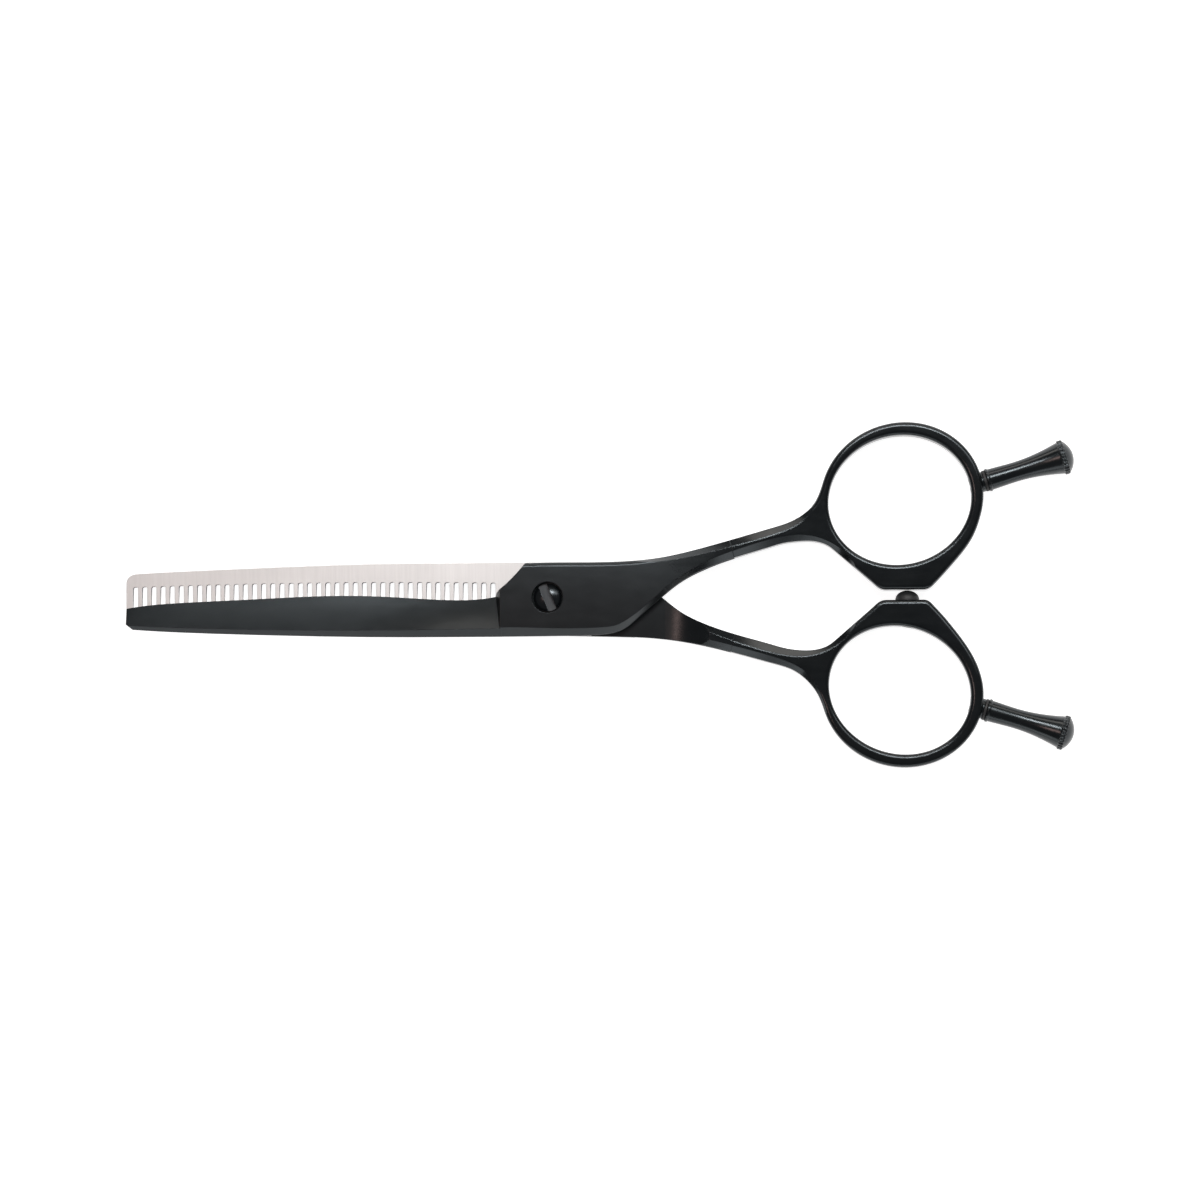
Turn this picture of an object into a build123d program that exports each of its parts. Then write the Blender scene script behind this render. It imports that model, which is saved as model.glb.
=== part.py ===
from build123d import *
from math import cos, radians, sin
import os

# Thinning shears, closed and lying flat on their underside.
# The pivot axis is Z through the origin, the handles point to +X and the blades to -X.
# The cutting half lies on top and its ring is on the +Y side. The comb half is below.
# Both halves are drawn as if they lay on top, and the comb half's pieces are then turned over.

# ---- whole tool, in mm ----
HALF_THICKNESS = 2.9  # one half at the pivot
RIDE_GAP = 0.05  # between the two ride faces
TOTAL_THICKNESS = 2 * HALF_THICKNESS + RIDE_GAP
MID_Z = TOTAL_THICKNESS / 2
THROUGH = 40.0  # longer than any cut that goes right through needs to be
OVERRUN = 2.0  # how far other cuts run past the end of what they cut
RIDE_Z = HALF_THICKNESS + RIDE_GAP  # inner face of the half that lies on top

# ---- the two halves, which are finished by hand and differ a little in plan ----
CUTTING_HALF = {
    "back": [(-8.5, 5.58), (0, 5.72), (10, 5.72), (18, 6.32), (25, 7.84), (36, 10.9)],
    "neck": [(40, 12.25), (42.9, 14.35)],  # between the shank's back and the ring
    "ring": ((57.64, 15.62), (13.35, 12.37), 17.8),  # centre, radii and tilt
    "hole": ((57.32, 15.41), (11.65, 10.48), 13.4),
    "flank": [(69.1, 9.35), (66.0, 5.2), (63.0, 1.93)],
    "crotch": [(37, 8.2), (31, 6.45), (25, 4.25), (21.5, 2.28), (18.6, 0.02), (13.6, -4.3)],
    "heel": [(11.3, -5.6), (8, -6.08)],
    "belly": [(0, -6.2), (-8.5, -6.23)],
    "rest": (71.5, 18.55, 16.4),  # X and Y of the finger rest's flange, and its angle
}
COMB_HALF = {
    "back": [(-8.5, 5.95), (0, 6.02), (8, 6.24), (18, 6.72), (25, 7.88), (36, 10.82)],
    "neck": [(40, 12.2), (42.6, 14.4)],
    "ring": ((57.46, 15.82), (13.2, 12.15), 11.5),
    "hole": ((57.06, 15.47), (11.63, 10.27), 20.8),
    "flank": [(68.72, 9.6), (65.8, 5.4), (62.9, 2.02)],
    "crotch": [(37, 8.1), (31, 6.36), (25, 4.24), (21.6, 2.42), (18.75, 0.2), (13.6, -4.1)],
    "heel": [(11.3, -5.15), (8, -5.5)],
    "belly": [(0, -5.68), (-8.5, -5.9)],
    "rest": (71.16, 18.77, 16.9),
}

# ---- handle ----
RING_THICKNESS = 4.7
RING_FROM_X = 42.0  # the shank has come down to the ring's thickness here
RING_TO_X = 75.0
EDGE_ROUND = 0.7
PAD_Y = 0.83  # flat at the bottom of the ring, where the two rings face each other
PAD_FROM_X = 55.0
PAD_TO_X = 61.0
PIVOT_FLAT_TO_X = 16.0  # the outer face is flat up to here, then thins down to the ring
SCOOP_FROM_X = 19.0  # the ride face ends here and the inner side is scooped up to the shank
SCOOP_RADIUS = 11.0
WELD_POINT = (30.0, 7.6, 0.0)  # the blade forging is welded to the handle here
SHANK_ANGLE = 15.5
# Bevels that widen along the blank: x, y, the way that the edge faces in degrees, and the bevel's width.
BEVEL_HEIGHT = 1.2
BEVEL_MARGIN = 0.25  # how far a bevel's cutter reaches past both edges of the bevel
BEVEL_CUTTER_REACH = 12.0  # how far it reaches outwards at its two ends
HEEL_BEVEL = [(9, -6.05, -88, 1.1), (11.4, -5.6, -68, 1.0), (13.6, -4.3, -50, 0.8)]
HEEL_BEVEL += [(18.6, 0.02, -47, 0.56), (22, 2.65, -52, 0.62)]
CROTCH_BEVEL = [(19.5, 0.85, -46, 0.56), (22, 2.65, -52, 0.62), (25, 4.25, -61, 0.95), (31, 6.42, -72, 1.6)]
CROTCH_BEVEL += [(37, 8.18, -75, 2.1), (41.4, 8.84, -90, 2.1), (46.4, 7.5, -128, 1.5), (50, 4.35, -131, 0.6)]
BACK_BEVEL = [(14, 5.95, 96, 0.1), (19, 6.45, 100, 0.6), (25, 7.86, 105, 1.2), (31, 9.5, 105, 1.7)]
BACK_BEVEL += [(37, 11.2, 105, 2.1), (41, 12.85, 122, 1.8), (43.4, 15.6, 155, 1.2), (45, 19.2, 158, 0.6)]

# ---- blades ----
BLADE_TIP_X = -69.0
BLADE_ROOT_X = -8.5
BLADE_ROOT_THICKNESS = 2.72
SPINE_BEVEL_TIP = 0.6
SPINE_BEVEL_ROOT = 1.2
BLADE_CROWN = 0.16  # rise of the outer face's arc over its chord, at the root
PLUNGE_FOOT_RISE = 0.15  # height of the plunge wall's foot over the ride face
PLUNGE_WIDTH = 0.75  # sloping wall between the ground blade and the pivot flat
TOOTH_PITCH = 1.5
SLOT_COUNT = 40
SLOT_WIDTH = 0.8
SLOT_ROUND = 0.3
LAST_SLOT_X = -9.0
SLOT_LENGTH = 7.0  # runs out past the toothed edge
DEEPEST_SLOT_X = -34.0
DEEPEST_SLOT_Y = -2.85
SLOT_RISE = 0.5  # how much shallower the slots are at both ends of the blade
NOTCH_SIZE = 0.2  # V notch in the end of each tooth

# ---- pivot ----
RECESS_DIAMETER = 5.1
RECESS_DEPTH = 1.5
RUNNING_CLEARANCE = 0.04  # radial
HEAD_DIAMETER = 4.5
HEAD_TOP_Z = 5.78
HEAD_RIM_Z = 5.15
SHOULDER_DIAMETER = 3.4
THREAD_DIAMETER = 3.0
SCREW_END_Z = 0.3
DRIVER_SLOT_WIDTH = 1.45
DRIVER_SLOT_DEPTH = 0.9
DRIVER_SLOT_TURN = 22.0  # from the Y axis
WASHER_THICKNESS = 0.3
PLUG_DIAMETER = 1.0
PLUG_DEPTH = 0.9
PLUG_Z = 1.5
THREAD_CHAMFER = 0.3

# ---- finger rests and bumper ----
REST_RIM_RADIUS = 2.83
REST_RIM_FROM = 12.6  # distances along the rest, from its flange face
REST_RIM_TO = 13.3
REST_END = 14.6
STUD_DIAMETER = 2.5
STUD_LENGTH = 2.9
REST_WASHER_THICKNESS = 0.5
REST_WASHER_RADIUS = 1.75
REST_WASHER_ROUND = 0.15
BOSS_DIAMETER = 3.3
BOSS_DEPTH = 1.8  # from the flange face back into the ring
TAPPED_DEPTH = 5.0  # through the ring's wall into the finger hole
KNURL_COUNT = 30
KNURL_DEPTH = 0.2
KNURL_LENGTH = 1.1
BUMPER_X = 58.4
BUMPER_RADIUS = 1.95
BUMPER_HEIGHT = 1.58
STEM_DIAMETER = 1.6
STEM_LENGTH = 4.1
STEM_HOLE_DEPTH = 8.0  # from between the rings, through the pad into the finger hole

WELD_PLANE = Plane(origin=WELD_POINT, z_dir=(cos(radians(SHANK_ANGLE)), sin(radians(SHANK_ANGLE)), 0))
TURN_OVER_AXIS = Axis((0, 0, MID_Z), (1, 0, 0))

os.makedirs("parts", exist_ok=True)


def save(part, name):
    """Label a finished piece and write it to its own STEP file."""
    part.label = name
    export_step(part, f"parts/{name}.step")


# ---- the half without its blade: pivot flat, shank and ring ----
def outline_sketch(half):
    """Plan of the pivot flat, shank and ring, with the finger hole."""
    ring_centre, ring_radii, ring_tilt = half["ring"]
    hole_centre, hole_radii, hole_tilt = half["hole"]
    with BuildSketch() as plan:
        with BuildLine():
            back = Spline(*half["back"], tangents=[(1, 0.01), (1, 0.28)])
            ring = EllipticalCenterArc(
                ring_centre, *ring_radii, start_angle=165 - ring_tilt, arc_size=-178, rotation=ring_tilt
            )
            Spline(back @ 1, *half["neck"], ring @ 0, tangents=[back % 1, ring % 0])
            flank = Spline(ring @ 1, *half["flank"], tangents=[ring % 1, (-0.7, -0.72)])
            pad = Line((PAD_TO_X, PAD_Y), (PAD_FROM_X, PAD_Y))
            Spline(flank @ 1, pad @ 0, tangents=[flank % 1, pad % 0])
            brace = Line((52.7, 2.06), (46.4, 7.51))
            Spline(pad @ 1, brace @ 0, tangents=[pad % 1, brace % 0])
            crotch = Spline(*half["crotch"], tangents=[(-1, -0.31), (-0.75, -0.66)])
            Spline(brace @ 1, (43, 8.86), (40.2, 8.8), crotch @ 0, tangents=[brace % 1, crotch % 0])
            belly = Spline(crotch @ 1, *half["heel"], *half["belly"], tangents=[crotch % 1, (-1, 0)])
            Line(belly @ 1, back @ 0)
        make_face()
        # The ellipse starts on the shank's side, clear of the finger rest's tapped hole.
        with Locations(hole_centre):
            Ellipse(*hole_radii, rotation=hole_tilt + 180, mode=Mode.SUBTRACT)
    return plan.sketch


def side_sketch():
    """Side view of the blank: both faces are flat at the pivot and draw in to the ring's thickness."""
    draw_in = (TOTAL_THICKNESS - RING_THICKNESS) / 2
    with BuildSketch(Plane.XZ) as side:
        with BuildLine():
            low_flat = Line((BLADE_ROOT_X - OVERRUN, 0), (PIVOT_FLAT_TO_X, 0))
            low_ring = Line((RING_FROM_X, draw_in), (RING_TO_X, draw_in))
            Spline(low_flat @ 1, low_ring @ 0, tangents=[(1, 0), (1, 0)])
            high_flat = Line((BLADE_ROOT_X - OVERRUN, TOTAL_THICKNESS), (PIVOT_FLAT_TO_X, TOTAL_THICKNESS))
            high_ring = Line((RING_FROM_X, TOTAL_THICKNESS - draw_in), (RING_TO_X, TOTAL_THICKNESS - draw_in))
            Spline(high_flat @ 1, high_ring @ 0, tangents=[(1, 0), (1, 0)])
            Line(low_flat @ 0, high_flat @ 0)
            Line(low_ring @ 1, high_ring @ 1)
        make_face()
    return side.sketch


def bevel_cutter(stations):
    """What a widening bevel takes off the upper edge along these stations."""
    low_line = []
    high_line = []
    for x, y, facing, width in stations:
        out_x, out_y = cos(radians(facing)), sin(radians(facing))
        low_line.append((x + out_x * BEVEL_MARGIN, y + out_y * BEVEL_MARGIN))
        inset = width + BEVEL_MARGIN
        high_line.append((x - out_x * inset, y - out_y * inset))
    with BuildPart() as cutter:
        levels = ((low_line, -BEVEL_HEIGHT - BEVEL_MARGIN), (high_line, BEVEL_MARGIN))
        for line, rise in levels:
            with BuildSketch(Plane.XY.offset(TOTAL_THICKNESS + rise)):
                with BuildLine():
                    Spline(*line)
                    ends = []
                    for x, y, facing, _ in (stations[-1], stations[0]):
                        out_x, out_y = cos(radians(facing)), sin(radians(facing))
                        ends.append((x + out_x * BEVEL_CUTTER_REACH, y + out_y * BEVEL_CUTTER_REACH))
                    Polyline(line[-1], *ends, line[0])
                make_face()
        loft(ruled=True)
    return cutter.part


def handle_blank(half):
    """Full-thickness blank with all its long edges rounded, above and below."""
    with BuildPart() as blank:
        extrude(outline_sketch(half), amount=TOTAL_THICKNESS)
        extrude(side_sketch(), amount=THROUGH, both=True, mode=Mode.INTERSECT)
        long_edges = [
            edge
            for edge in blank.edges()
            if abs(edge.tangent_at(0.5).Z) < 0.3 and abs(edge.tangent_at(0.5).Y) < 0.999
        ]
        fillet(long_edges, radius=EDGE_ROUND)
        for stations in (CROTCH_BEVEL, BACK_BEVEL):
            cutter = bevel_cutter(stations)
            add(cutter, mode=Mode.SUBTRACT)
            add(cutter.mirror(Plane.XY.offset(MID_Z)), mode=Mode.SUBTRACT)
    return blank.part


def half_blank(half):
    """The blank with its inner side cut down to the ride face and scooped up to the shank."""
    blank = handle_blank(half)
    belly_y, root_y = half["belly"][0][1], half["belly"][-1][1]
    with BuildPart() as piece:
        add(blank)
        # The bevel of the blade's spine runs on along the pivot flat and round the heel.
        belly_bevel = [
            (BLADE_ROOT_X - OVERRUN, root_y, -90, SPINE_BEVEL_ROOT),
            (0, belly_y, -90, SPINE_BEVEL_ROOT),
        ]
        add(bevel_cutter(belly_bevel + HEEL_BEVEL), mode=Mode.SUBTRACT)
        with BuildSketch(Plane.XZ):
            with BuildLine():
                foot_z = RIDE_Z + PLUNGE_FOOT_RISE
                wall_x = BLADE_ROOT_X + PLUNGE_WIDTH
                cut_x, cut_z = BLADE_ROOT_X - OVERRUN, TOTAL_THICKNESS + OVERRUN
                Polyline(
                    (BLADE_ROOT_X, foot_z), (wall_x, TOTAL_THICKNESS), (wall_x, cut_z),
                    (cut_x, cut_z), (cut_x, foot_z), close=True,
                )
            make_face()
        extrude(amount=THROUGH, both=True, mode=Mode.SUBTRACT)
        with BuildSketch(Plane.XZ):
            with Locations((SCOOP_FROM_X, RIDE_Z)):
                Rectangle(THROUGH, THROUGH, align=(Align.MAX, Align.MAX))
            with Locations((SCOOP_FROM_X, RIDE_Z - SCOOP_RADIUS)):
                Circle(SCOOP_RADIUS)
        extrude(amount=THROUGH, both=True, mode=Mode.SUBTRACT)
    return piece.part


# ---- blades ----
def blade_blank(plan, tip_thickness, edge_thickness):
    """Blade lofted along X: flat inner face, crowned outer face and bevelled spine."""
    with BuildPart() as blade:
        for x, edge_y, spine_y in plan:
            way = (x - BLADE_TIP_X) / (BLADE_ROOT_X - BLADE_TIP_X)
            thickness = tip_thickness + (BLADE_ROOT_THICKNESS - tip_thickness) * way
            bevel = SPINE_BEVEL_TIP + (SPINE_BEVEL_ROOT - SPINE_BEVEL_TIP) * way
            with BuildSketch(Plane(origin=(x, 0, RIDE_Z), x_dir=(0, 1, 0), z_dir=(1, 0, 0))):
                with BuildLine():
                    sides = Polyline(
                        (edge_y, edge_thickness), (edge_y, 0), (spine_y, 0),
                        (spine_y, thickness - bevel), (spine_y + bevel, thickness),
                    )
                    SagittaArc(sides @ 0, sides @ 1, BLADE_CROWN * (0.4 + 0.6 * way))
                make_face()
        loft()
    return blade.part


def forging(blank, plan, tip_thickness, edge_thickness):
    """Blade and pivot flat in one piece, up to the weld."""
    blade = blade_blank(plan, tip_thickness, edge_thickness)
    with BuildPart() as piece:
        add(blank)
        split(bisect_by=WELD_PLANE, keep=Keep.BOTTOM)
        add(blade)
        # The pivot flat is cut back on a slant above the root of the edge.
        with BuildSketch():
            with BuildLine():
                slant = ThreePointArc((-9.1, 0.4), (-6.4, 2.55), (-3.4, 5.9))
                Polyline(slant @ 1, (-3.4, 8), (-9.1, 8), slant @ 0)
            make_face()
        extrude(amount=THROUGH, mode=Mode.SUBTRACT)
    return piece.part


def tooth_tip_y(plan, x):
    """Y of the toothed edge at x, between the two nearest stations of the plan."""
    for (x0, y0, _), (x1, y1, _) in zip(plan, plan[1:]):
        if x0 <= x <= x1:
            return y0 + (y1 - y0) * (x - x0) / (x1 - x0)


cutting_blank = half_blank(CUTTING_HALF)
cutting_plan = [(-69, -1.15, -4.52), (-66, -0.7, -4.76), (-60, -0.26, -5.12)]
cutting_plan += [(-46, 0.32, -5.68), (-28, 0.53, -6.14), (-7.6, 0.53, -6.24)]
cutting_forging = forging(cutting_blank, cutting_plan, tip_thickness=1.15, edge_thickness=0.12)
with BuildPart() as cutting_blade:
    add(cutting_forging)
    # The corner of the tip is ground off.
    with BuildSketch():
        with BuildLine():
            Polyline((-70, -3.0), (-69, -3.78), (-68.1, -4.5), (-66.2, -6), (-70, -6), close=True)
        make_face()
    extrude(amount=THROUGH, mode=Mode.SUBTRACT)
    with Locations((0, 0, TOTAL_THICKNESS)):
        CounterBoreHole(SHOULDER_DIAMETER / 2 + RUNNING_CLEARANCE, RECESS_DIAMETER / 2, RECESS_DEPTH)
save(cutting_blade.part, "cutting_blade")

comb_plan = [(-69, 2.05, -4.42), (-66, 1.6, -4.6), (-60, 1.16, -4.87)]
comb_plan += [(-46, 0.58, -5.37), (-28, 0.37, -5.83), (-7.6, 0.37, -5.92)]
comb_blank = half_blank(COMB_HALF)
comb_forging = forging(comb_blank, comb_plan, tip_thickness=1.3, edge_thickness=0.45)
with BuildPart() as comb_blade:
    add(comb_forging)
    # The corner of the tip is rounded.
    with BuildSketch():
        with BuildLine():
            tip_arc = ThreePointArc((-69, -3.1), (-68.6, -4.0), (-67.6, -4.45))
            Polyline(tip_arc @ 1, (-67.6, -6), (-70, -6), (-70, -3.1), tip_arc @ 0)
        make_face()
    extrude(amount=THROUGH, mode=Mode.SUBTRACT)
    slot_xs = [LAST_SLOT_X - TOOTH_PITCH * i for i in range(SLOT_COUNT)]
    with BuildSketch():
        for x in slot_xs:
            top_y = DEEPEST_SLOT_Y + SLOT_RISE * ((x - DEEPEST_SLOT_X) / DEEPEST_SLOT_X) ** 2
            with Locations((x, top_y)):
                RectangleRounded(SLOT_WIDTH, SLOT_LENGTH, SLOT_ROUND, align=(Align.CENTER, Align.MIN))
    extrude(amount=THROUGH, mode=Mode.SUBTRACT)
    with BuildSketch():
        for x in slot_xs:
            tooth_x = x - TOOTH_PITCH / 2
            with Locations((tooth_x, tooth_tip_y(comb_plan, tooth_x))):
                Rectangle(NOTCH_SIZE, NOTCH_SIZE, rotation=45)
    extrude(amount=THROUGH, mode=Mode.SUBTRACT)
    with Locations((0, 0, TOTAL_THICKNESS)):
        Hole(THREAD_DIAMETER / 2 + RUNNING_CLEARANCE)
save(comb_blade.part.rotate(TURN_OVER_AXIS, 180), "comb_blade")


# ---- handles ----
def handle(blank, half):
    """Shank and ring beyond the weld, with a tapped boss for the finger rest."""
    x, y, angle = half["rest"]
    along_rest = (cos(radians(angle)), sin(radians(angle)), 0)
    end_on = Plane(origin=(x, y, MID_Z), x_dir=(0, 0, 1), z_dir=along_rest)
    with BuildPart() as piece:
        add(blank)
        split(bisect_by=WELD_PLANE, keep=Keep.TOP)
        with BuildSketch(end_on.offset(-BOSS_DEPTH)):
            Circle(BOSS_DIAMETER / 2)
        extrude(amount=BOSS_DEPTH - REST_WASHER_THICKNESS)
        with BuildSketch(end_on.offset(-TAPPED_DEPTH)):
            Circle(STUD_DIAMETER / 2 + RUNNING_CLEARANCE)
        extrude(amount=TAPPED_DEPTH, mode=Mode.SUBTRACT)
    return piece.part


save(handle(cutting_blank, CUTTING_HALF), "upper_handle")

turned_handle = handle(comb_blank, COMB_HALF).rotate(TURN_OVER_AXIS, 180)
with BuildPart() as lower_handle:
    add(turned_handle)
    with BuildSketch(Plane(origin=(BUMPER_X, 0, MID_Z), x_dir=(1, 0, 0), z_dir=(0, -1, 0))):
        Circle(STEM_DIAMETER / 2)
    extrude(amount=STEM_HOLE_DEPTH, mode=Mode.SUBTRACT)
save(lower_handle.part, "lower_handle")

# ---- pivot: shouldered tension screw, washer under its head, nylon locking plug in its thread ----
washer_z = TOTAL_THICKNESS - RECESS_DEPTH
head_z = washer_z + WASHER_THICKNESS
with BuildPart() as screw_washer:
    with BuildSketch(Plane.XY.offset(washer_z)):
        Circle(HEAD_DIAMETER / 2)
        Circle(SHOULDER_DIAMETER / 2 + RUNNING_CLEARANCE, mode=Mode.SUBTRACT)
    extrude(amount=WASHER_THICKNESS)
save(screw_washer.part, "screw_washer")

with BuildPart() as pivot_screw:
    with BuildSketch(Plane.XZ):
        with BuildLine():
            crown = ThreePointArc((HEAD_DIAMETER / 2, HEAD_RIM_Z), (1.4, 5.547), (0, HEAD_TOP_Z))
            Polyline(
                crown @ 1, (0, SCREW_END_Z), (THREAD_DIAMETER / 2 - THREAD_CHAMFER, SCREW_END_Z),
                (THREAD_DIAMETER / 2, SCREW_END_Z + THREAD_CHAMFER), (THREAD_DIAMETER / 2, RIDE_Z),
                (SHOULDER_DIAMETER / 2, RIDE_Z), (SHOULDER_DIAMETER / 2, head_z),
                (HEAD_DIAMETER / 2, head_z), crown @ 0,
            )
        make_face()
    revolve(axis=Axis.Z)
    with BuildSketch(Plane.XY.offset(HEAD_TOP_Z - DRIVER_SLOT_DEPTH)):
        Rectangle(DRIVER_SLOT_WIDTH, THROUGH, rotation=DRIVER_SLOT_TURN)
    extrude(amount=THROUGH, mode=Mode.SUBTRACT)
    with BuildSketch(Plane.YZ.offset(THREAD_DIAMETER / 2 - PLUG_DEPTH)):
        with Locations((0, PLUG_Z)):
            Circle(PLUG_DIAMETER / 2)
    extrude(amount=THROUGH, mode=Mode.SUBTRACT)
save(pivot_screw.part, "pivot_screw")

with BuildPart() as locking_plug:
    with BuildSketch(Plane.YZ.offset(THREAD_DIAMETER / 2 - PLUG_DEPTH)):
        with Locations((0, PLUG_Z)):
            Circle(PLUG_DIAMETER / 2)
    extrude(amount=THREAD_DIAMETER)
    Cylinder(THREAD_DIAMETER / 2, THROUGH, mode=Mode.INTERSECT)
save(locking_plug.part, "locking_plug")

# ---- finger rests and their washers, turned about X and then set in place ----
with BuildPart() as finger_rest:
    with BuildSketch():
        with BuildLine():
            stud = Polyline(
                (-STUD_LENGTH, 0), (-STUD_LENGTH, 1.0), (0.25 - STUD_LENGTH, STUD_DIAMETER / 2),
                (0, STUD_DIAMETER / 2), (0, 1.78), (0.12, 1.9), (0.42, 1.9), (0.55, 1.74),
            )
            flare = Spline(
                stud @ 1, (5.3, 1.62), (9.4, 2.0), (REST_RIM_FROM - 0.15, 2.62),
                tangents=[(1, -0.02), (1, 0.24)],
            )
            rim = Polyline(flare @ 1, (REST_RIM_FROM, REST_RIM_RADIUS), (REST_RIM_TO, REST_RIM_RADIUS))
            crown = ThreePointArc((REST_RIM_TO + 0.1, 2.65), (14.2, 1.6), (REST_END, 0))
            Line(rim @ 1, crown @ 0)
            Line(crown @ 1, stud @ 0)
        make_face()
    revolve(axis=Axis.X)
    with BuildSketch(Plane.YZ.offset(REST_RIM_FROM - 0.2)):
        with PolarLocations(REST_RIM_RADIUS + 0.02, KNURL_COUNT):
            RegularPolygon(KNURL_DEPTH, 4)
    extrude(amount=KNURL_LENGTH, mode=Mode.SUBTRACT)

with BuildPart() as rest_washer:
    with BuildSketch(Plane.YZ.offset(-REST_WASHER_THICKNESS)):
        Circle(REST_WASHER_RADIUS)
        Circle(STUD_DIAMETER / 2 + RUNNING_CLEARANCE, mode=Mode.SUBTRACT)
    extrude(amount=REST_WASHER_THICKNESS)
    fillet(rest_washer.edges().filter_by(GeomType.CIRCLE).sort_by(SortBy.RADIUS)[-2:], radius=REST_WASHER_ROUND)

for half, side in ((CUTTING_HALF, "upper"), (COMB_HALF, "lower")):
    x, y, angle = half["rest"]
    place = Location((x, y, MID_Z), (0, 0, angle))
    for piece, name in ((finger_rest.part, "finger_rest"), (rest_washer.part, "rest_washer")):
        placed = piece.moved(place)
        if side == "lower":
            placed = placed.rotate(TURN_OVER_AXIS, 180)
        save(placed, f"{side}_{name}")

# ---- rubber bumper: a dome on the lower ring's pad, with its stem through the ring ----
with BuildPart() as bumper:
    with BuildSketch(Plane.XY.offset(MID_Z)):
        with BuildLine():
            foot = Polyline(
                (BUMPER_X, -PAD_Y - STEM_LENGTH), (BUMPER_X + STEM_DIAMETER / 2, -PAD_Y - STEM_LENGTH),
                (BUMPER_X + STEM_DIAMETER / 2, -PAD_Y), (BUMPER_X + BUMPER_RADIUS, -PAD_Y),
            )
            dome = Spline(
                foot @ 1, (BUMPER_X + 1.4, BUMPER_HEIGHT * 0.72 - PAD_Y), (BUMPER_X, BUMPER_HEIGHT - PAD_Y),
                tangents=[(0, 1), (-1, 0)],
            )
            Line(dome @ 1, foot @ 0)
        make_face()
    revolve(axis=Axis((BUMPER_X, 0, MID_Z), (0, 1, 0)))
save(bumper.part, "bumper")
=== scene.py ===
from math import radians

import bpy
from mathutils import Euler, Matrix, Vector


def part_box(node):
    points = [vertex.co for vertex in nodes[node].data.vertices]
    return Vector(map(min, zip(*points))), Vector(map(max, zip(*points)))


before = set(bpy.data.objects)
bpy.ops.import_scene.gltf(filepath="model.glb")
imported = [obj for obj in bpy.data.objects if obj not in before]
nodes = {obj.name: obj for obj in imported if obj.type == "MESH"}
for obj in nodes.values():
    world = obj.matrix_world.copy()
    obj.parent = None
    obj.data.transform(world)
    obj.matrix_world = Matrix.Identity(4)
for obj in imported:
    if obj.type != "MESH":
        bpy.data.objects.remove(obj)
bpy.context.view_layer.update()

MM = 0.001

# Places on the tool that the materials follow.
RIDE_TOP_OF_COMB = 2.9 * MM
RIDE_FACE_OF_CUTTING = 2.95 * MM
RIDE_TOLERANCE = 0.01 * MM
BARE_RIM = 0.02 * MM  # the grinding bares this much of the walls beside a ride face
BARE_TO_X = 7 * MM  # the bare ride faces end here, under the crossing of the halves
SATIN_TO_X = 18 * MM  # the satin pivot flat runs into the polished shank between these two places
POLISHED_FROM_X = 30 * MM
SLOT_FLOOR_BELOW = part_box("pivot_screw")[1][2] - 0.8 * MM  # just over the floor of the driver slot

GRIND_DEPTH = 0.002 * MM
CROWN = 4.4 / GRIND_DEPTH  # makes a flat lean 3 degrees at its edge, 6 mm from the middle of the tool


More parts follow.
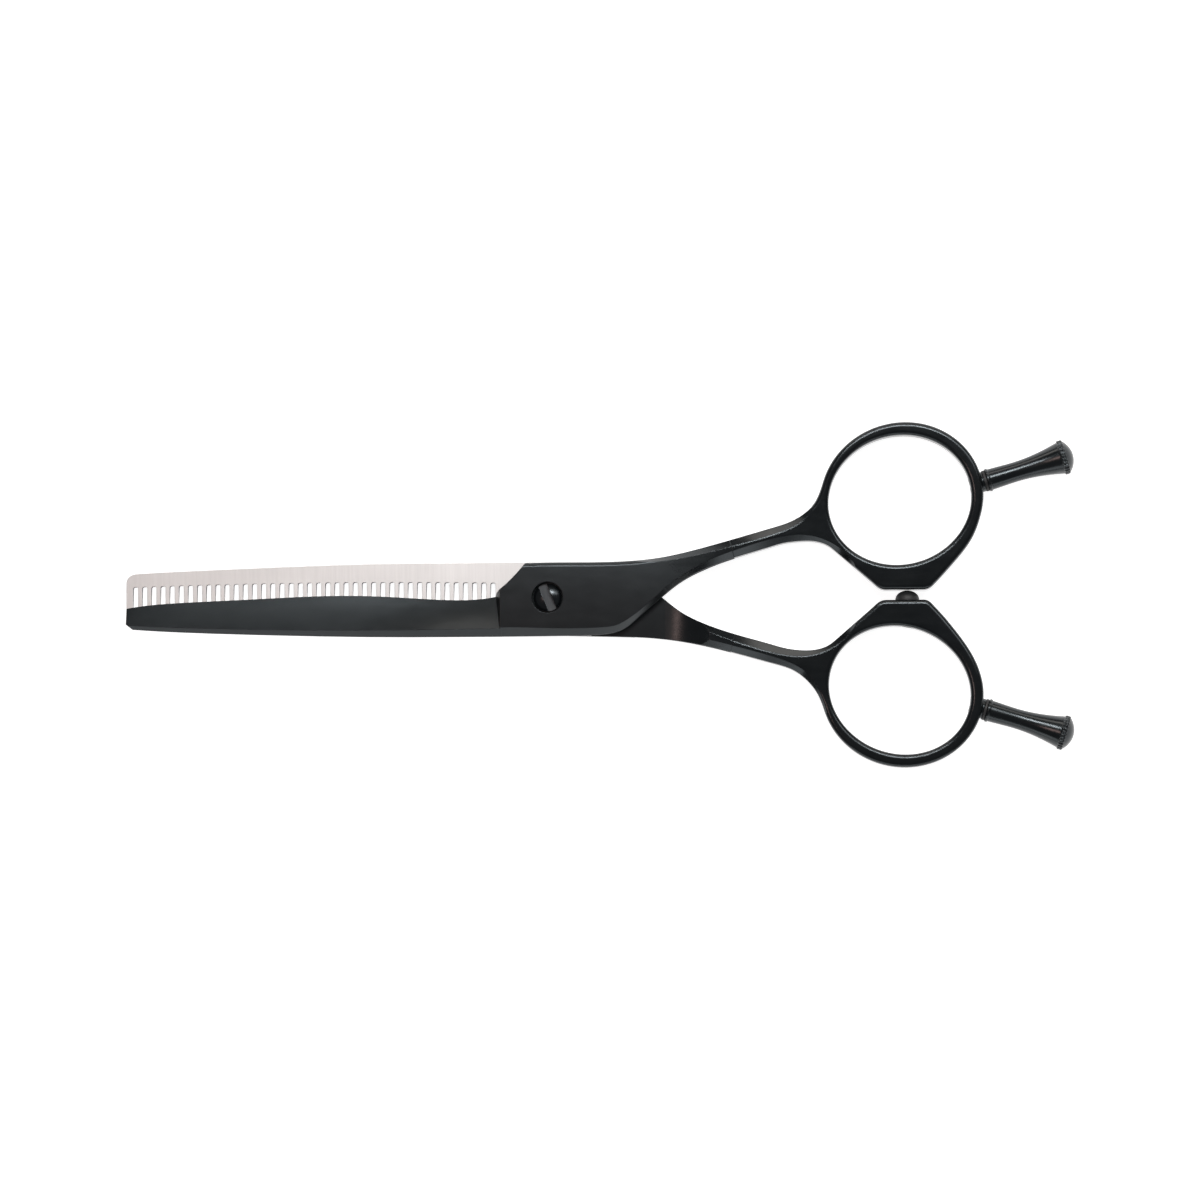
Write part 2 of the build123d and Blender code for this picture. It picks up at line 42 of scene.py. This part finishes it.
# ---- shader helpers ----
class Shader:
    """One node material, with short calls for the nodes that the materials below share."""

    def __init__(self, name):
        self.material = bpy.data.materials.new(name)
        self.material.use_nodes = True
        self.tree = self.material.node_tree
        self.surface = self.tree.nodes["Principled BSDF"]
        self.place = self.tree.nodes.new("ShaderNodeTexCoord").outputs["Object"]

    def link(self, source, target):
        self.tree.links.new(source, target)

    def feed(self, socket, value):
        """Give a socket a constant or another node's output."""
        if hasattr(value, "links"):
            self.link(value, socket)
        else:
            socket.default_value = value

    def node(self, kind, **settings):
        made = self.tree.nodes.new(kind)
        for key, value in settings.items():
            setattr(made, key, value)
        return made

    def split(self, vector):
        """X, Y and Z of a vector."""
        made = self.node("ShaderNodeSeparateXYZ")
        self.link(vector, made.inputs["Vector"])
        return made.outputs["X"], made.outputs["Y"], made.outputs["Z"]

    def stretched(self, scale):
        """The piece's own coordinates, multiplied axis by axis."""
        mapping = self.node("ShaderNodeMapping")
        mapping.inputs["Scale"].default_value = scale
        self.link(self.place, mapping.inputs["Vector"])
        return mapping.outputs["Vector"]

    def noise(self, scale, stretch=(1, 1, 1), detail=4.0, roughness=0.55):
        """Noise with its feature size given as features per metre."""
        made = self.node("ShaderNodeTexNoise")
        made.inputs["Scale"].default_value = scale
        made.inputs["Detail"].default_value = detail
        made.inputs["Roughness"].default_value = roughness
        self.link(self.stretched(stretch), made.inputs["Vector"])
        return made.outputs["Fac"]

    def remap(self, value, low, high, from_low=0.3, from_high=0.7):
        """Stretch a range of values to the range from low to high."""
        made = self.node("ShaderNodeMapRange")
        made.inputs["From Min"].default_value = from_low
        made.inputs["From Max"].default_value = from_high
        made.inputs["To Min"].default_value = low
        made.inputs["To Max"].default_value = high
        self.link(value, made.inputs["Value"])
        return made.outputs["Result"]

    def math(self, operation, a, b=0):
        made = self.node("ShaderNodeMath", operation=operation)
        self.feed(made.inputs[0], a)
        self.feed(made.inputs[1], b)
        return made.outputs["Value"]

    def mix_colour(self, share, a, b):
        made = self.node("ShaderNodeMix", data_type="RGBA")
        self.link(share, made.inputs["Factor"])
        for socket, value in ((made.inputs["A"], a), (made.inputs["B"], b)):
            self.feed(socket, (*value, 1) if isinstance(value, tuple) else value)
        return made.outputs["Result"]

    def mix_value(self, share, a, b):
        made = self.node("ShaderNodeMix", data_type="FLOAT")
        self.link(share, made.inputs["Factor"])
        self.feed(made.inputs["A"], a)
        self.feed(made.inputs["B"], b)
        return made.outputs["Result"]

    def bump(self, height, depth, edge=0.0):
        """Fine relief, over edges that are softened to the radius edge."""
        made = self.node("ShaderNodeBump")
        made.inputs["Strength"].default_value = 1.0
        made.inputs["Distance"].default_value = depth
        self.link(height, made.inputs["Height"])
        if edge:
            soft = self.node("ShaderNodeBevel", samples=6)
            soft.inputs["Radius"].default_value = edge
            self.link(soft.outputs["Normal"], made.inputs["Normal"])
        self.link(made.outputs["Normal"], self.surface.inputs["Normal"])

    def set(self, **values):
        """Set the surface's sockets, named with underscores for their spaces."""
        for key, value in values.items():
            self.feed(self.surface.inputs[key.replace("_", " ")], value)


# ---- black coating ----
COAT_DARK = (0.0022, 0.0028, 0.0034)
COAT_LIGHT = (0.0040, 0.0050, 0.0058)
COAT_GLOSS = {"Specular_IOR_Level": 0.5, "Specular_Tint": (0.86, 0.95, 1.0, 1), "IOR": 1.5}


def coat_colour(shader):
    """Hard black coating: a faint cloudiness in the colour."""
    cloud = shader.remap(shader.noise(350, detail=3), 0.0, 1.0)
    return shader.mix_colour(cloud, COAT_DARK, COAT_LIGHT)


def coat_roughness(shader, low, high):
    """Faint smears of handling, drawn out along the tool."""
    smear = shader.noise(700, stretch=(0.35, 1, 1), detail=5)
    return shader.remap(smear, low, high)


def coat_grain(shader):
    return shader.noise(9000, detail=3, roughness=0.6)


def black_coating(name, low=0.15, high=0.21):
    """Polished black coating, with its roughness between low and high."""
    shader = Shader(name)
    shader.bump(coat_grain(shader), 0.0006 * MM, edge=0.3 * MM)
    shader.set(Base_Color=coat_colour(shader), Roughness=coat_roughness(shader, low, high), **COAT_GLOSS)
    return shader.material


def screw_coating():
    """Polished black head, with a milled driver slot whose floor is lighter and matt."""
    shader = Shader("screw_coating")
    z = shader.split(shader.place)[2]
    slot_floor = shader.math("LESS_THAN", z, SLOT_FLOOR_BELOW)
    cutter_marks = shader.noise(5000, stretch=(1, 0.2, 1), detail=4)
    shader.bump(cutter_marks, 0.001 * MM, edge=0.1 * MM)
    milled = shader.mix_colour(shader.remap(cutter_marks, 0, 1), (0.045, 0.048, 0.052), (0.07, 0.073, 0.077))
    shader.set(
        Base_Color=shader.mix_colour(slot_floor, coat_colour(shader), milled),
        Roughness=shader.mix_value(slot_floor, coat_roughness(shader, 0.16, 0.24), 0.4),
        **COAT_GLOSS,
    )
    return shader.material


# ---- blades and pivot flats: coated steel with a bare ride face ----
def bare_share(shader, x, z, bare_low, bare_high):
    """1 on the ground ride face between the two heights, up to the crossing of the halves."""
    above = shader.math("GREATER_THAN", z, bare_low)
    below = shader.math("LESS_THAN", z, bare_high)
    near_blade = shader.math("LESS_THAN", x, BARE_TO_X)
    return shader.math("MULTIPLY", shader.math("MULTIPLY", above, below), near_blade)


def wall_share(shader):
    """1 on walls that stand upright, such as the sides of the comb's slots."""
    geometry = shader.node("ShaderNodeNewGeometry")
    rise = shader.math("ABSOLUTE", shader.split(geometry.outputs["True Normal"])[2])
    return shader.math("LESS_THAN", rise, 0.1)


def crowned(shader, height, y, share):
    """Takes a very shallow crown across the tool off a height, as hand grinding leaves it on a flat."""
    crown = shader.math("MULTIPLY", shader.math("MULTIPLY", y, y), shader.math("MULTIPLY", share, CROWN))
    return shader.math("SUBTRACT", height, crown)


def ground_steel(shader):
    """Colour, roughness and relief of bare steel, ground across the blade."""
    grind = shader.noise(1800, stretch=(7, 0.18, 1), detail=6, roughness=0.65)
    broad = shader.remap(shader.noise(60, stretch=(1, 1.5, 1), detail=2), 0, 1)
    coarse = shader.remap(shader.noise(600, stretch=(4, 0.1, 1), detail=3), 0, 0.35)
    colour = shader.mix_colour(broad, (0.71, 0.705, 0.70), (0.78, 0.775, 0.77))
    colour = shader.mix_colour(coarse, colour, (0.63, 0.625, 0.62))
    return colour, shader.remap(grind, 0.46, 0.6), grind


def half_steel(name, bare_low, bare_high):
    """Black coating all over, with the ride face between the two heights ground bare."""
    shader = Shader(name)
    x, y, z = shader.split(shader.place)
    bare = bare_share(shader, x, z, bare_low, bare_high)
    steel, steel_roughness, grind = ground_steel(shader)

    satin = shader.remap(x, 1.0, 0.0, SATIN_TO_X, POLISHED_FROM_X)
    grain = shader.math("MULTIPLY", coat_grain(shader), 0.3)
    height = shader.mix_value(bare, crowned(shader, grain, y, satin), grind)
    shader.bump(height, GRIND_DEPTH, edge=0.12 * MM)

    coat = shader.mix_value(satin, coat_roughness(shader, 0.16, 0.22), coat_roughness(shader, 0.28, 0.32))
    coat = shader.mix_value(wall_share(shader), coat, 0.75)
    shader.set(
        Base_Color=shader.mix_colour(bare, coat_colour(shader), steel),
        Metallic=bare,
        Roughness=shader.mix_value(bare, coat, steel_roughness),
        **COAT_GLOSS,
    )
    return shader.material


# ---- rubber and nylon ----
def rubber():
    """Soft black rubber with a faint grey bloom and a fine pebbled skin."""
    shader = Shader("soft_rubber")
    bloom = shader.remap(shader.noise(900, detail=4), 0, 1)
    pebble = shader.noise(12000, detail=2)
    shader.bump(pebble, 0.004 * MM)
    shader.set(
        Base_Color=shader.mix_colour(bloom, (0.010, 0.010, 0.011), (0.02, 0.02, 0.021)),
        Roughness=shader.remap(bloom, 0.45, 0.65, 0, 1),
    )
    return shader.material


def nylon():
    """Matt black nylon, slightly cloudy."""
    shader = Shader("nylon")
    cloud = shader.remap(shader.noise(1500, detail=4), 0, 1)
    shader.bump(shader.noise(9000, detail=2), 0.002 * MM)
    shader.set(
        Base_Color=shader.mix_colour(cloud, (0.02, 0.02, 0.022), (0.035, 0.035, 0.037)),
        Roughness=shader.remap(cloud, 0.4, 0.5, 0, 1),
    )
    return shader.material


# ---- each finish, and the nodes that have it ----
comb_steel = half_steel("comb_steel", RIDE_TOP_OF_COMB - BARE_RIM, RIDE_TOP_OF_COMB + RIDE_TOLERANCE)
cutting_steel = half_steel(
    "cutting_steel", RIDE_FACE_OF_CUTTING - RIDE_TOLERANCE, RIDE_FACE_OF_CUTTING + BARE_RIM
)
finishes = [
    (comb_steel, ["comb_blade"]),
    (cutting_steel, ["cutting_blade"]),
    (black_coating("handle_coating"), ["upper_handle", "lower_handle"]),
    (screw_coating(), ["pivot_screw"]),
    (black_coating("rest_coating", 0.16, 0.26), ["upper_finger_rest", "lower_finger_rest"]),
    (rubber(), ["bumper", "upper_rest_washer", "lower_rest_washer"]),
    (nylon(), ["screw_washer", "locking_plug"]),
]
for finish, node_names in finishes:
    for node_name in node_names:
        for slot in nodes[node_name].material_slots:
            slot.material = finish

# ---- floor: pale, and slightly lit from below like a photographer's table ----
FLOOR_SIZE = 6
bpy.ops.mesh.primitive_plane_add(size=FLOOR_SIZE, location=(0, 0, 0))
floor = bpy.context.object
floor.name = "floor"
floor_shader = Shader("pale_floor")
floor_shader.set(
    Base_Color=(0.55, 0.55, 0.55, 1),
    Roughness=0.9,
    Specular_IOR_Level=0.1,
    Emission_Color=(1, 1, 1, 1),
    Emission_Strength=0.92,
)
floor.data.materials.append(floor_shader.material)

# ---- light ----
world = bpy.data.worlds.new("studio")
bpy.context.scene.world = world
world.use_nodes = True
sky = world.node_tree.nodes["Background"]
sky.inputs["Color"].default_value = (1, 1, 1, 1)
sky.inputs["Strength"].default_value = 0.14


def softbox(name, place, aim, size, power, colour=(1, 1, 1)):
    """Rectangular area light at a place, facing the point that it is aimed at."""
    light = bpy.data.lights.new(name, "AREA")
    light.shape = "RECTANGLE"
    light.size, light.size_y = size
    light.energy = power
    light.color = colour
    lamp = bpy.data.objects.new(name, light)
    bpy.context.scene.collection.objects.link(lamp)
    lamp.visible_camera = False
    lamp.location = place
    lamp.rotation_euler = (Vector(aim) - Vector(place)).to_track_quat("-Z", "Y").to_euler()


PIVOT = (0, 0, 0)
WARM = (1, 0.66, 0.58)
SOFT_WARM = (1, 0.9, 0.82)
softbox("back_softbox", (0.5, 0.6, 1.2), (0.5, 0, 0), (1.2, 0.35), 5.2)
softbox("back_low_softbox", (0, 1.05, 0.45), PIVOT, (1.6, 0.28), 4, SOFT_WARM)
softbox("front_softbox", (0, -1, 0.3), PIVOT, (1.6, 0.4), 3.2)
softbox("handle_strip", (0.045, 0.135, 0.27), (0.045, 0, 0), (0.16, 0.03), 0.4)
softbox("neck_lamp", (-0.44, -0.02, 1.2), PIVOT, (0.3, 0.2), 1.1, WARM)

# ---- camera: almost straight above, leaning a little to the front and to the right ----
CAMERA_DISTANCE = 1000 * MM
FIELD_WIDTH = 195.4 * MM
SENSOR_WIDTH = 36
CAMERA_TURN = Euler((radians(3), radians(2.5), radians(-0.36)))
MIDDLE_OF_VIEW = Vector((8.43 * MM, -0.36 * MM, RIDE_TOP_OF_COMB))
camera_data = bpy.data.cameras.new("camera")
camera_data.sensor_width = SENSOR_WIDTH
camera_data.lens = SENSOR_WIDTH * CAMERA_DISTANCE / FIELD_WIDTH
camera = bpy.data.objects.new("camera", camera_data)
bpy.context.scene.collection.objects.link(camera)
camera.location = MIDDLE_OF_VIEW + CAMERA_TURN.to_matrix() @ Vector((0, 0, CAMERA_DISTANCE))
camera.rotation_euler = CAMERA_TURN
bpy.context.scene.camera = camera
bpy.context.scene.view_settings.view_transform = "Standard"
